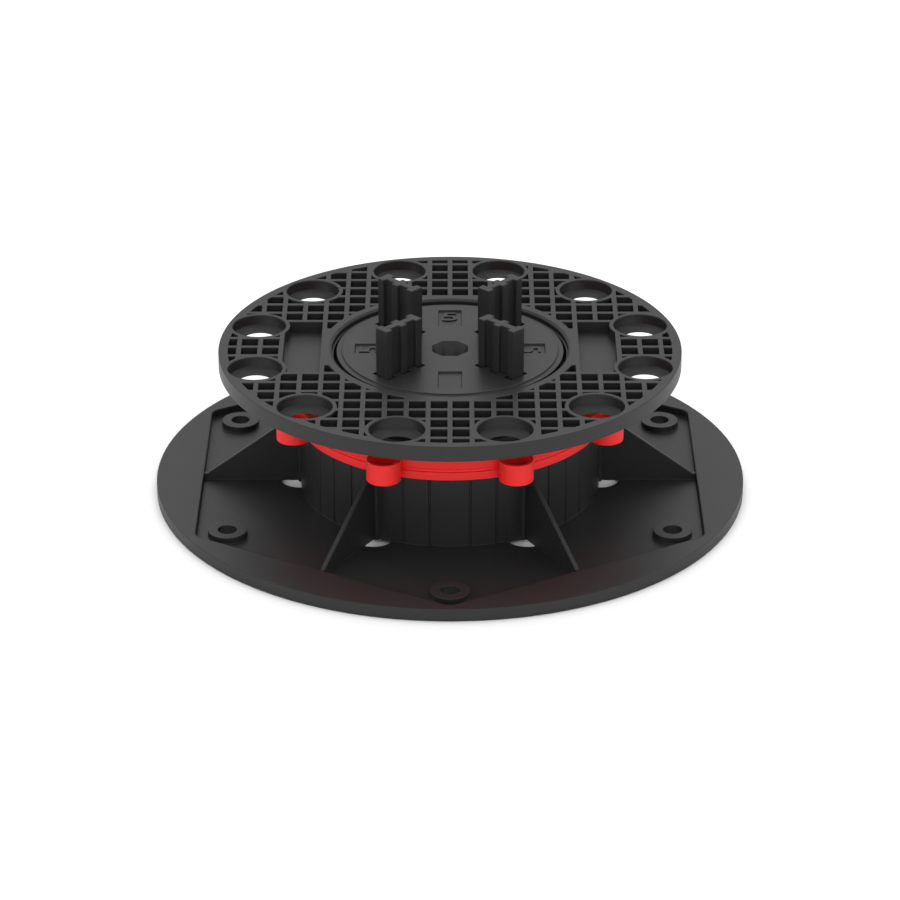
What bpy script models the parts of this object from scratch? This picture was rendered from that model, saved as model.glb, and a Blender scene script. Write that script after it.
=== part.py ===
"""Adjustable decking pedestal.

A round base carries a barrel. A lobed collar turns on the barrel and lifts a
threaded stem, whose head plate bears the paving. A disc in the head turns and
holds four tabs that space the slabs. Metres, +Z up, origin under the base.
"""
import math

import bmesh
import bpy
from mathutils import Matrix, Vector

MM = 0.001

# Base plate
BASE_RADIUS = 98.6 * MM
BASE_THICKNESS = 4.2 * MM
PANEL_MARGIN = 15.8 * MM
PANEL_FLOOR = 1.5 * MM
PANEL_CORNER_RADIUS = 4.0 * MM
SIDES = 6
BOSS_OFFSET = 1.6 * MM
BOSS_RADIUS = 6.4 * MM
BOSS_HOLE_RADIUS = 3.1 * MM
BOSS_TOP = 3.35 * MM
DRAIN_RADIUS = 7.1 * MM
DRAIN_HEADROOM = 0.3 * MM
GUSSET_THICKNESS = 1.5 * MM
GUSSET_FOOT_HEIGHT = 3.7 * MM
GUSSET_FOOT_LENGTH = 1.1 * MM
GUSSET_TOP_DROP = 0.5 * MM

# Barrel
BARREL_RADIUS = 50.2 * MM
BARREL_WALL = 3.2 * MM
BARREL_SHOULDER = 25.8 * MM
SPIGOT_WALL = 1.9 * MM
SPIGOT_HEIGHT = 4.8 * MM
BEAD_HEIGHT = 0.5 * MM
BEAD_WIDTH = 1.0 * MM
BEAD_DROP = 1.0 * MM
FLUTE_WIDTH = 0.7 * MM
FLUTE_DEPTH = 0.4 * MM
FLUTE_ANGLES = (7.6, 17.7, 39.7, 49.1, 58.4, 67.5)
KEY_COUNT = 4
KEY_WIDTH = 4.0 * MM
KEY_BOTTOM = 6.0 * MM
KEY_TOP_DROP = 0.4 * MM

# Adjusting collar
COLLAR_OVERHANG = 1.6 * MM
COLLAR_HEIGHT = 7.5 * MM
COLLAR_EDGE = 0.4 * MM
COLLAR_CROWN_INSET = 0.3 * MM
NUT_HEIGHT = 2.4 * MM
GROOVE_BOTTOM = 2.8 * MM
GROOVE_WIDTH = 0.9 * MM
GROOVE_DEPTH = 0.7 * MM
LOBE_COUNT = 8
LOBE_REACH = 3.9 * MM
LOBE_RADIUS = 5.65 * MM
LOBE_HEIGHT = 8.0 * MM
LOBE_WALL = 1.2 * MM
LOBE_FLOOR = 1.5 * MM

# Head plate and stem
HEAD_RADIUS = 76.8 * MM
HEAD_TOP = 50.3 * MM
HEAD_THICKNESS = 5.3 * MM
HEAD_EDGE = 0.4 * MM
RIM_WIDTH = 3.3 * MM
CELL_DEPTH = 3.8 * MM
GRID_PITCH = 7.0 * MM
BAR_WIDTH = 2.0 * MM
SMALLEST_CELL = 6.0 * MM ** 2
HOLE_COUNT = 12
HOLE_RADIUS = 8.9 * MM
HOLE_EDGE_DISTANCE = 1.9 * MM
HOLE_NECK_RADIUS = 6.0 * MM
HOLE_STRAIGHT_DEPTH = 3.1 * MM
HOLE_WALL = 1.5 * MM
POCKET_FIRST_BAR = 6
POCKET_LAST_BAR = 8
POCKET_SIDE_BAR = 3
PAD_HALF_LENGTH = 15.0 * MM
SEAT_LEDGE = 1.8 * MM
SEAT_RING_WIDTH = 3.4 * MM
SEAT_CHAMFER_WIDTH = 1.4 * MM
SEAT_CHAMFER_DEPTH = 1.0 * MM
STEM_CLEARANCE = 2.0 * MM
STEM_WALL = 4.0 * MM
STEM_BOTTOM = 10.0 * MM
KEYWAY_DEPTH = 1.8 * MM
WEB_TOP = 42.0 * MM
WEB_THICKNESS = 2.0 * MM

# Spacer disc
DISC_TOP = 49.6 * MM
DISC_THICKNESS = 2.4 * MM
DISC_STEP_WIDTH = 1.8 * MM
DISC_STEP_HEIGHT = 0.55 * MM
DISC_RUNNING_GAP = 1.5 * MM
HUB_RADIUS = 8.7 * MM
HUB_BORE = 5.5 * MM
HUB_BARB = 0.9 * MM
HUB_BARB_HEIGHT = 2.0 * MM
HUB_SLIT = 1.5 * MM
HUB_SLIT_COUNT = 4
SOCKET_APOTHEM = 5.9 * MM
SOCKET_DEPTH = 6.0 * MM
SOCKET_TAPER = 1.5 * MM
SOCKET_SIDES = 8
FRAME_COUNT = 4
FRAME_WIDTH = 7.7 * MM
FRAME_LENGTH = 13.2 * MM
FRAME_MARGIN = 6.2 * MM
FRAME_DEPTH = 0.7 * MM

# Spacer tabs
TAB_TOP = 66.2 * MM
TAB_BAR_COUNT = 3
TAB_BAR_PITCH = 6.7 * MM
TAB_BAR_LENGTH = 5.2 * MM
TAB_BAR_THICKNESS = 2.8 * MM
TAB_WEB_THICKNESS = 2.4 * MM
TAB_MARGIN = 7.4 * MM
TAB_EDGE = 0.5 * MM
SLOT_END_GAP = 1.2 * MM
SLEEVE_WALL = 1.6 * MM

# Fits
RUNNING_GAP = 0.3 * MM
OVERLAP = 1.0 * MM
WELD = 0.002 * MM
FLAT_DEGREES = 0.1

# Facets of round forms
HEAD_STEPS = 56
ROUND_STEPS = 40
HOLE_STEPS = 16
SMALL_HOLE_STEPS = 12
LOBE_STEPS = 8

COLOURS = {
    "base": (0.085, 0.085, 0.085, 1.0),
    "adjusting_collar": (0.80, 0.03, 0.03, 1.0),
    "head": (0.085, 0.085, 0.085, 1.0),
    "spacer_disc": (0.085, 0.085, 0.085, 1.0),
    "spacer_tab": (0.085, 0.085, 0.085, 1.0),
}

# Sizes worked out from those above
PANEL_APOTHEM = BASE_RADIUS - PANEL_MARGIN
BOSS_CENTRE_RADIUS = PANEL_APOTHEM + BOSS_OFFSET
BARREL_BORE = BARREL_RADIUS - BARREL_WALL
SPIGOT_RADIUS = BARREL_BORE + SPIGOT_WALL
SPIGOT_TOP = BARREL_SHOULDER + SPIGOT_HEIGHT
COLLAR_RADIUS = BARREL_RADIUS + COLLAR_OVERHANG
LOBE_CENTRE_RADIUS = COLLAR_RADIUS + LOBE_REACH
COLLAR_BOTTOM = BARREL_SHOULDER + RUNNING_GAP
COLLAR_TOP = COLLAR_BOTTOM + COLLAR_HEIGHT
COLLAR_BORE = SPIGOT_RADIUS + RUNNING_GAP
STEM_RADIUS = BARREL_BORE - STEM_CLEARANCE
STEM_BORE = STEM_RADIUS - STEM_WALL
NUT_BORE = STEM_RADIUS + RUNNING_GAP
NUT_BOTTOM = COLLAR_TOP - NUT_HEIGHT
KEY_RADIUS = STEM_RADIUS - KEYWAY_DEPTH + RUNNING_GAP
KEYWAY_WIDTH = KEY_WIDTH + 2 * RUNNING_GAP
HEAD_BOTTOM = HEAD_TOP - HEAD_THICKNESS
HOLE_CENTRE_RADIUS = HEAD_RADIUS - HOLE_RADIUS - HOLE_EDGE_DISTANCE
SEAT_RADIUS = STEM_BORE - SEAT_LEDGE
SEAT_RING_RADIUS = SEAT_RADIUS + SEAT_RING_WIDTH
DISC_RADIUS = SEAT_RADIUS - DISC_RUNNING_GAP
WEB_BOTTOM = WEB_TOP - WEB_THICKNESS
WEB_BORE = HUB_RADIUS + RUNNING_GAP
DISC_BOTTOM = DISC_TOP - DISC_THICKNESS
TAB_FOOT = WEB_TOP + RUNNING_GAP
TAB_OUTER_BAR = DISC_RADIUS - TAB_MARGIN
TAB_BAR_RADII = [TAB_OUTER_BAR - TAB_BAR_PITCH * k for k in reversed(range(TAB_BAR_COUNT))]
FRAME_OUTER_RADIUS = DISC_RADIUS - FRAME_MARGIN
FRAME_INNER_RADIUS = FRAME_OUTER_RADIUS - FRAME_LENGTH
GUSSET_ANGLES = [360 / SIDES * k for k in range(SIDES)]
BOSS_ANGLES = [360 / SIDES * (k + 0.5) for k in range(SIDES)]
LOBE_ANGLES = [360 / LOBE_COUNT * (k + 0.5) for k in range(LOBE_COUNT)]
HOLE_ANGLES = [360 / HOLE_COUNT * (k + 0.5) for k in range(HOLE_COUNT)]
KEY_ANGLES = [360 / KEY_COUNT * k for k in range(KEY_COUNT)]
FRAME_ANGLES = [360 / FRAME_COUNT * k for k in range(FRAME_COUNT)]
SLIT_ANGLES = [360 / HUB_SLIT_COUNT * (k + 0.5) for k in range(HUB_SLIT_COUNT)]
QUARTERS = {
    "back_right": (1, 1),
    "back_left": (-1, 1),
    "front_left": (-1, -1),
    "front_right": (1, -1),
}


def polar(radius, degrees):
    """Point at a radius and an angle from +X."""
    angle = math.radians(degrees)
    return (radius * math.cos(angle), radius * math.sin(angle))


def circle(radius, steps, centre=(0.0, 0.0)):
    """Corners of a round outline."""
    points = []
    for k in range(steps):
        x, y = polar(radius, 360 * k / steps)
        points.append((centre[0] + x, centre[1] + y))
    return points


def regular_outline(apothem, sides, corner_radius, corner_steps):
    """Outline of a regular polygon, flat side towards +X, with rounded corners."""
    half = 180 / sides
    inset = (apothem - corner_radius) / math.cos(math.radians(half))
    points = []
    for k in range(sides):
        corner = 2 * half * k + half
        centre = polar(inset, corner)
        for step in range(corner_steps + 1):
            x, y = polar(corner_radius, corner - half + 2 * half * step / corner_steps)
            points.append((centre[0] + x, centre[1] + y))
    return points


def on_diagonal(points, side_x, side_y):
    """Points given along and across the diagonal of a quarter, placed in the plane."""
    diagonal = math.sqrt(0.5)
    placed = []
    for along, across in points:
        placed.append((side_x * (along + across) * diagonal, side_y * (along - across) * diagonal))
    return placed


def tab_section(side_gap, end_gap):
    """Section of a tab along its diagonal: bars across a web, larger by two gaps."""
    half_web = TAB_WEB_THICKNESS / 2 + side_gap
    half_bar = TAB_BAR_THICKNESS / 2 + side_gap
    half_length = TAB_BAR_LENGTH / 2 + end_gap
    side = []
    for radius in TAB_BAR_RADII:
        side += [
            (radius - half_bar, half_web),
            (radius - half_bar, half_length),
            (radius + half_bar, half_length),
            (radius + half_bar, half_web),
        ]
    side = side[1:-1]
    return side + [(along, -across) for along, across in reversed(side)]


def add_object(name, mesh, collection):
    """Object of a mesh in a collection."""
    item = bpy.data.objects.new(name, mesh)
    collection.objects.link(item)
    return item


def turned(name, profile, collection, steps):
    """Body turned about Z from a profile of radius and height, given clockwise.

    A profile that starts on the axis also ends there; any other is a closed loop.
    """
    mesh = bpy.data.meshes.new(name)
    corners = [(radius, 0.0, height) for radius, height in profile]
    on_axis = profile[0][0] == 0.0
    last = len(profile) - 1 if on_axis else len(profile)
    edges = [(k, (k + 1) % len(profile)) for k in range(last)]
    mesh.from_pydata(corners, edges, [])
    item = add_object(name, mesh, collection)
    screw = item.modifiers.new("turn", "SCREW")
    screw.axis = "Z"
    screw.steps = steps
    screw.render_steps = steps
    screw.use_merge_vertices = True
    screw.merge_threshold = WELD
    screw.use_normal_calculate = True
    return item


def prism(name, outlines, bottom, top, collection):
    """Upright body of one height; outlines after the first are holes in it."""
    curve = bpy.data.curves.new(name, "CURVE")
    curve.dimensions = "2D"
    curve.fill_mode = "BOTH"
    curve.extrude = (top - bottom) / 2
    for outline in outlines:
        spline = curve.splines.new("POLY")
        spline.points.add(len(outline) - 1)
        for point, (x, y) in zip(spline.points, outline):
            point.co = (x, y, 0.0, 1.0)
        spline.use_cyclic_u = True
    flat = bpy.data.objects.new(name + "_outline", curve)
    collection.objects.link(flat)
    bpy.context.view_layer.update()
    graph = bpy.context.evaluated_depsgraph_get()
    mesh = bpy.data.meshes.new_from_object(flat.evaluated_get(graph))
    mesh.transform(Matrix.Translation((0, 0, (top + bottom) / 2)))
    shape = bmesh.new()
    shape.from_mesh(mesh)
    bmesh.ops.remove_doubles(shape, verts=shape.verts, dist=WELD)
    bmesh.ops.recalc_face_normals(shape, faces=shape.faces)
    shape.to_mesh(mesh)
    shape.free()
    bpy.data.objects.remove(flat)
    bpy.data.curves.remove(curve)
    mesh.name = name
    return add_object(name, mesh, collection)


def box(name, low, high, collection):
    """Box between two corners."""
    shape = bmesh.new()
    bmesh.ops.create_cube(shape, size=1.0)
    size = [b - a for a, b in zip(low, high)]
    middle = [(a + b) / 2 for a, b in zip(low, high)]
    bmesh.ops.scale(shape, vec=size, verts=shape.verts)
    bmesh.ops.translate(shape, vec=middle, verts=shape.verts)
    mesh = bpy.data.meshes.new(name)
    shape.to_mesh(mesh)
    shape.free()
    return add_object(name, mesh, collection)


def spin_copies(item, angles):
    """Repeat a body's mesh about Z at each angle, as separate bodies of one mesh."""
    shape = bmesh.new()
    for degrees in angles:
        copy = item.data.copy()
        copy.transform(Matrix.Rotation(math.radians(degrees), 4, "Z"))
        shape.from_mesh(copy)
        bpy.data.meshes.remove(copy)
    shape.to_mesh(item.data)
    shape.free()
    return item


def combine(item, other, operation):
    """Boolean of two bodies, applied to the first; the second stays beside it as a guide."""
    modifier = item.modifiers.new(other.name, "BOOLEAN")
    modifier.operation = operation
    modifier.solver = "EXACT"
    modifier.object = other
    applied(item)
    other.hide_render = True
    other.display_type = "WIRE"


def applied(item):
    """Freeze an object's modifiers into its mesh, join flat faces and weld loose corners."""
    bpy.context.view_layer.update()
    graph = bpy.context.evaluated_depsgraph_get()
    mesh = bpy.data.meshes.new_from_object(item.evaluated_get(graph))
    shape = bmesh.new()
    shape.from_mesh(mesh)
    flat = math.radians(FLAT_DEGREES)
    bmesh.ops.dissolve_limit(shape, angle_limit=flat, verts=shape.verts, edges=shape.edges)
    bmesh.ops.remove_doubles(shape, verts=shape.verts, dist=WELD)
    bmesh.ops.dissolve_degenerate(shape, edges=shape.edges, dist=WELD)
    shape.to_mesh(mesh)
    shape.free()
    item.modifiers.clear()
    item.data = mesh
    return item


def finish(item, colour_key, roughness, sharp_degrees=35):
    """Material and shading of a sub-part."""
    material = bpy.data.materials.new(item.name)
    material.use_nodes = True
    shader = material.node_tree.nodes["Principled BSDF"]
    shader.inputs["Base Color"].default_value = COLOURS[colour_key]
    shader.inputs["Roughness"].default_value = roughness
    shader.inputs["Metallic"].default_value = 0.0
    applied(item)
    item.data.materials.clear()
    item.data.materials.append(material)
    item.data.shade_smooth()
    item.data.set_sharp_from_angle(angle=math.radians(sharp_degrees))


def make_gusset(cutters):
    """Sloping web from the barrel to the side of the panel, drawn upright along +X."""
    top = BARREL_SHOULDER - GUSSET_TOP_DROP
    root = (BARREL_RADIUS + BARREL_BORE) / 2
    shelf = COLLAR_RADIUS + RUNNING_GAP
    foot = PANEL_APOTHEM - GUSSET_FOOT_LENGTH
    buried = PANEL_FLOOR / 2
    outline = [
        (root, buried),
        (PANEL_APOTHEM + OVERLAP, buried),
        (PANEL_APOTHEM + OVERLAP, GUSSET_FOOT_HEIGHT),
        (foot, GUSSET_FOOT_HEIGHT),
        (shelf, top),
        (root, top),
    ]
    half = GUSSET_THICKNESS / 2
    item = prism("gussets", [outline], -half, half, cutters)
    item.data.transform(Matrix.Rotation(math.radians(90), 4, "X"))
    return spin_copies(item, GUSSET_ANGLES)


def barrel_profile():
    """Half section of the barrel, still solid, with its spigot and snap bead."""
    bead_top = SPIGOT_TOP - BEAD_DROP
    bead_bottom = bead_top - BEAD_WIDTH
    bead_radius = SPIGOT_RADIUS + BEAD_HEIGHT
    return [
        (0.0, SPIGOT_TOP),
        (SPIGOT_RADIUS, SPIGOT_TOP),
        (SPIGOT_RADIUS, bead_top),
        (bead_radius, (bead_top + bead_bottom) / 2),
        (SPIGOT_RADIUS, bead_bottom),
        (SPIGOT_RADIUS, BARREL_SHOULDER),
        (BARREL_RADIUS, BARREL_SHOULDER),
        (BARREL_RADIUS, PANEL_FLOOR / 2),
        (0.0, PANEL_FLOOR / 2),
    ]


def make_base(parts, cutters):
    """Plate, barrel, gussets, bosses and drains in one moulding."""
    wall_middle = (BARREL_RADIUS + BARREL_BORE) / 2
    base = prism("base", [circle(BASE_RADIUS, HEAD_STEPS)], 0.0, BASE_THICKNESS, parts)

    hexagon = regular_outline(PANEL_APOTHEM, SIDES, PANEL_CORNER_RADIUS, 3)
    panel_outline = [hexagon, circle(wall_middle, ROUND_STEPS)]
    panel_top = BASE_THICKNESS + OVERLAP
    panel = prism("panel_recess", panel_outline, PANEL_FLOOR, panel_top, cutters)
    combine(base, panel, "DIFFERENCE")

    barrel = turned("barrel", barrel_profile(), cutters, ROUND_STEPS)
    combine(base, barrel, "UNION")
    combine(base, make_gusset(cutters), "UNION")

    boss_centre = (BOSS_CENTRE_RADIUS, 0.0)
    boss_outline = circle(BOSS_RADIUS, HOLE_STEPS, boss_centre)
    boss = prism("bosses", [boss_outline], PANEL_FLOOR / 2, BOSS_TOP, cutters)
    combine(base, spin_copies(boss, BOSS_ANGLES), "UNION")
    hole_outline = circle(BOSS_HOLE_RADIUS, SMALL_HOLE_STEPS, boss_centre)
    hole = prism("boss_holes", [hole_outline], -OVERLAP, BOSS_TOP + OVERLAP, cutters)
    combine(base, spin_copies(hole, BOSS_ANGLES), "DIFFERENCE")

    drain_outline = circle(DRAIN_RADIUS, HOLE_STEPS, (BARREL_RADIUS, 0.0))
    drain = prism("drains", [drain_outline], -OVERLAP, PANEL_FLOOR + DRAIN_HEADROOM, cutters)
    combine(base, spin_copies(drain, GUSSET_ANGLES), "DIFFERENCE")
    bore_outline = circle(BARREL_BORE, ROUND_STEPS)
    bore = prism("barrel_bore", [bore_outline], -OVERLAP, SPIGOT_TOP + OVERLAP, cutters)
    combine(base, bore, "DIFFERENCE")

    key_low = (KEY_RADIUS, -KEY_WIDTH / 2, KEY_BOTTOM)
    key_high = (BARREL_BORE + SPIGOT_WALL / 2, KEY_WIDTH / 2, SPIGOT_TOP - KEY_TOP_DROP)
    key = box("keys", key_low, key_high, cutters)
    combine(base, spin_copies(key, KEY_ANGLES), "UNION")

    flute_low = (BARREL_RADIUS - FLUTE_DEPTH, -FLUTE_WIDTH / 2, PANEL_FLOOR)
    flute_high = (BARREL_RADIUS + OVERLAP, FLUTE_WIDTH / 2, BARREL_SHOULDER + OVERLAP)
    flute = box("flutes", flute_low, flute_high, cutters)
    flute_angles = []
    for angle in FLUTE_ANGLES:
        flute_angles += [90 - angle, 90 + angle, 270 - angle, 270 + angle]
    combine(base, spin_copies(flute, flute_angles), "DIFFERENCE")
    finish(base, "base", 0.55)
    return base


def collar_profile():
    """Half section of the collar: bead groove below, nut step above, groove outside."""
    bead_middle = SPIGOT_TOP - BEAD_DROP - BEAD_WIDTH / 2
    relief = BEAD_WIDTH / 2 + RUNNING_GAP
    groove_low = COLLAR_BOTTOM + GROOVE_BOTTOM
    groove_high = groove_low + GROOVE_WIDTH
    crown = COLLAR_RADIUS - COLLAR_CROWN_INSET
    return [
        (NUT_BORE, COLLAR_TOP),
        (crown - COLLAR_EDGE, COLLAR_TOP),
        (crown, COLLAR_TOP - COLLAR_EDGE),
        (crown, groove_high),
        (COLLAR_RADIUS - GROOVE_DEPTH, groove_high),
        (COLLAR_RADIUS - GROOVE_DEPTH, groove_low),
        (COLLAR_RADIUS, groove_low),
        (COLLAR_RADIUS, COLLAR_BOTTOM + COLLAR_EDGE),
        (COLLAR_RADIUS - COLLAR_EDGE, COLLAR_BOTTOM),
        (COLLAR_BORE, COLLAR_BOTTOM),
        (COLLAR_BORE, bead_middle - relief),
        (COLLAR_BORE + BEAD_HEIGHT, bead_middle),
        (COLLAR_BORE, bead_middle + relief),
        (COLLAR_BORE, NUT_BOTTOM),
        (NUT_BORE, NUT_BOTTOM),
    ]


def make_collar(parts, cutters):
    """Ring with eight hollow finger lobes."""
    collar = turned("adjusting_collar", collar_profile(), parts, ROUND_STEPS)
    root = (COLLAR_RADIUS + COLLAR_BORE) / 2
    outline = [(root, -LOBE_RADIUS)]
    for step in range(LOBE_STEPS + 1):
        x, y = polar(LOBE_RADIUS, -90 + 180 * step / LOBE_STEPS)
        outline.append((LOBE_CENTRE_RADIUS + x, y))
    outline.append((root, LOBE_RADIUS))
    lobe_top = COLLAR_BOTTOM + LOBE_HEIGHT
    lobe = prism("lobes", [outline], COLLAR_BOTTOM, lobe_top, cutters)
    combine(collar, spin_copies(lobe, LOBE_ANGLES), "UNION")

    cup_outline = circle(LOBE_RADIUS - LOBE_WALL, SMALL_HOLE_STEPS, (LOBE_CENTRE_RADIUS, 0.0))
    cup = prism("lobe_cups", [cup_outline], COLLAR_BOTTOM + LOBE_FLOOR, lobe_top + OVERLAP, cutters)
    combine(collar, spin_copies(cup, LOBE_ANGLES), "DIFFERENCE")
    finish(collar, "adjusting_collar", 0.4)
    return collar


def head_profile():
    """Half section of the plate, the disc's seat, the web and the stem."""
    return [
        (SEAT_RADIUS + SEAT_CHAMFER_WIDTH, HEAD_TOP),
        (HEAD_RADIUS - HEAD_EDGE, HEAD_TOP),
        (HEAD_RADIUS, HEAD_TOP - HEAD_EDGE),
        (HEAD_RADIUS, HEAD_BOTTOM),
        (STEM_RADIUS, HEAD_BOTTOM),
        (STEM_RADIUS, STEM_BOTTOM),
        (STEM_BORE, STEM_BOTTOM),
        (STEM_BORE, WEB_BOTTOM),
        (WEB_BORE, WEB_BOTTOM),
        (WEB_BORE, WEB_TOP),
        (SEAT_RADIUS, WEB_TOP),
        (SEAT_RADIUS, HEAD_TOP - SEAT_CHAMFER_DEPTH),
    ]


def make_cells(cutters):
    """Square cells between the bars, clipped by the rim, the seat and the hole walls."""
    low = HEAD_TOP - CELL_DEPTH
    high = HEAD_TOP + OVERLAP
    inner_edge = SEAT_RING_RADIUS
    outer_edge = HEAD_RADIUS - RIM_WIDTH
    half_cell = (GRID_PITCH - BAR_WIDTH) / 2
    half_bar = BAR_WIDTH / 2
    reach = math.ceil(HEAD_RADIUS / GRID_PITCH)
    pocket_near = POCKET_FIRST_BAR * GRID_PITCH
    pocket_far = POCKET_LAST_BAR * GRID_PITCH
    pocket_side = POCKET_SIDE_BAR * GRID_PITCH
    shape = bmesh.new()
    for column in range(-reach, reach):
        for row in range(-reach, reach):
            x = (column + 0.5) * GRID_PITCH
            y = (row + 0.5) * GRID_PITCH
            near = math.hypot(abs(x) + half_cell, abs(y) + half_cell)
            far = math.hypot(abs(x) - half_cell, abs(y) - half_cell)
            in_pad = abs(x) < pocket_near and abs(y) < PAD_HALF_LENGTH
            in_pocket = pocket_near < abs(x) < pocket_far and abs(y) < pocket_side
            if near < inner_edge or far > outer_edge or in_pad or in_pocket:
                continue
            cell = bmesh.ops.create_cube(shape, size=1.0)["verts"]
            bmesh.ops.scale(shape, vec=(2 * half_cell, 2 * half_cell, high - low), verts=cell)
            bmesh.ops.translate(shape, vec=(x, y, (low + high) / 2), verts=cell)
    for side in (-1, 1):
        pocket = bmesh.ops.create_cube(shape, size=1.0)["verts"]
        length = pocket_far - pocket_near - BAR_WIDTH
        width = 2 * (pocket_side - half_bar)
        bmesh.ops.scale(shape, vec=(length, width, high - low), verts=pocket)
        middle = side * (pocket_near + pocket_far) / 2
        bmesh.ops.translate(shape, vec=(middle, 0.0, (low + high) / 2), verts=pocket)
    mesh = bpy.data.meshes.new("cells")
    shape.to_mesh(mesh)
    shape.free()
    cells = add_object("cells", mesh, cutters)

    ring = [circle(outer_edge, HEAD_STEPS), circle(inner_edge, HEAD_STEPS)]
    field = prism("cell_field", ring, low - OVERLAP, high + OVERLAP, cutters)
    combine(cells, field, "INTERSECT")
    wall_outline = circle(HOLE_RADIUS + HOLE_WALL, HOLE_STEPS, (HOLE_CENTRE_RADIUS, 0.0))
    walls = prism("hole_walls", [wall_outline], low - OVERLAP, high + OVERLAP, cutters)
    combine(cells, spin_copies(walls, HOLE_ANGLES), "DIFFERENCE")
    applied(cells)
    drop_slivers(cells, (high - low) * SMALLEST_CELL)
    cells.hide_render = True
    cells.display_type = "WIRE"
    return cells


def drop_slivers(item, smallest_volume):
    """Remove the bodies of a mesh that are smaller than a volume."""
    shape = bmesh.new()
    shape.from_mesh(item.data)
    seen = set()
    for start in list(shape.verts):
        if start in seen:
            continue
        island = {start}
        front = [start]
        while front:
            vert = front.pop()
            for edge in vert.link_edges:
                other = edge.other_vert(vert)
                if other not in island:
                    island.add(other)
                    front.append(other)
        seen |= island
        if island_volume(island) < smallest_volume:
            bmesh.ops.delete(shape, geom=list(island), context="VERTS")
    shape.to_mesh(item.data)
    shape.free()


def island_volume(island):
    """Volume inside the closed body that the vertices span."""
    volume = 0.0
    for face in {face for vert in island for face in vert.link_faces}:
        corners = [vert.co for vert in face.verts]
        for k in range(1, len(corners) - 1):
            volume += corners[0].dot(corners[k].cross(corners[k + 1])) / 6
    return abs(volume)


def make_head(parts, cutters):
    """Grid plate with countersunk holes over a stem with keyways."""
    head = turned("head", head_profile(), parts, HEAD_STEPS)
    combine(head, make_cells(cutters), "DIFFERENCE")

    depth = HEAD_TOP - HOLE_STRAIGHT_DEPTH
    hole_profile = [
        (0.0, HEAD_TOP + OVERLAP),
        (HOLE_RADIUS, HEAD_TOP + OVERLAP),
        (HOLE_RADIUS, depth),
        (HOLE_NECK_RADIUS, HEAD_BOTTOM),
        (HOLE_NECK_RADIUS, HEAD_BOTTOM - OVERLAP),
        (0.0, HEAD_BOTTOM - OVERLAP),
    ]
    hole = applied(turned("screw_holes", hole_profile, cutters, HOLE_STEPS))
    hole.data.transform(Matrix.Translation((HOLE_CENTRE_RADIUS, 0.0, 0.0)))
    combine(head, spin_copies(hole, HOLE_ANGLES), "DIFFERENCE")

    keyway_low = (STEM_RADIUS - KEYWAY_DEPTH, -KEYWAY_WIDTH / 2, STEM_BOTTOM - OVERLAP)
    keyway_high = (STEM_RADIUS + OVERLAP, KEYWAY_WIDTH / 2, HEAD_BOTTOM - OVERLAP)
    keyway = box("keyways", keyway_low, keyway_high, cutters)
    combine(head, spin_copies(keyway, KEY_ANGLES), "DIFFERENCE")
    finish(head, "head", 0.55)
    return head


def disc_profile():
    """Half section of the spacer disc with its snap hub."""
    plateau = DISC_RADIUS - DISC_STEP_WIDTH
    barb_top = WEB_BOTTOM - RUNNING_GAP
    barb_bottom = barb_top - HUB_BARB_HEIGHT
    return [
        (0.0, DISC_TOP),
        (plateau, DISC_TOP),
        (plateau, DISC_TOP - DISC_STEP_HEIGHT),
        (DISC_RADIUS, DISC_TOP - DISC_STEP_HEIGHT),
        (DISC_RADIUS, DISC_BOTTOM),
        (HUB_RADIUS, DISC_BOTTOM),
        (HUB_RADIUS, barb_top),
        (HUB_RADIUS + HUB_BARB, barb_top),
        (HUB_RADIUS, barb_bottom),
        (HUB_BORE, barb_bottom),
        (HUB_BORE, WEB_BOTTOM),
        (0.0, WEB_BOTTOM),
    ]


def make_socket_cutter(cutters):
    """Eight-sided tapered plug that leaves the disc's tool socket."""
    shape = bmesh.new()
    corner = math.cos(math.pi / SOCKET_SIDES)
    slope = SOCKET_TAPER / SOCKET_DEPTH
    wide = (SOCKET_APOTHEM + slope * OVERLAP) / corner
    narrow = (SOCKET_APOTHEM - SOCKET_TAPER) / corner
    height = SOCKET_DEPTH + OVERLAP
    bmesh.ops.create_cone(
        shape, cap_ends=True, segments=SOCKET_SIDES, radius1=narrow, radius2=wide, depth=height
    )
    turn = Matrix.Rotation(math.pi / SOCKET_SIDES, 3, "Z")
    bmesh.ops.rotate(shape, matrix=turn, verts=shape.verts)
    middle = DISC_TOP + OVERLAP - height / 2
    bmesh.ops.translate(shape, vec=(0.0, 0.0, middle), verts=shape.verts)
    mesh = bpy.data.meshes.new("tool_socket")
    shape.to_mesh(mesh)
    shape.free()
    return add_object("tool_socket", mesh, cutters)


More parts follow.
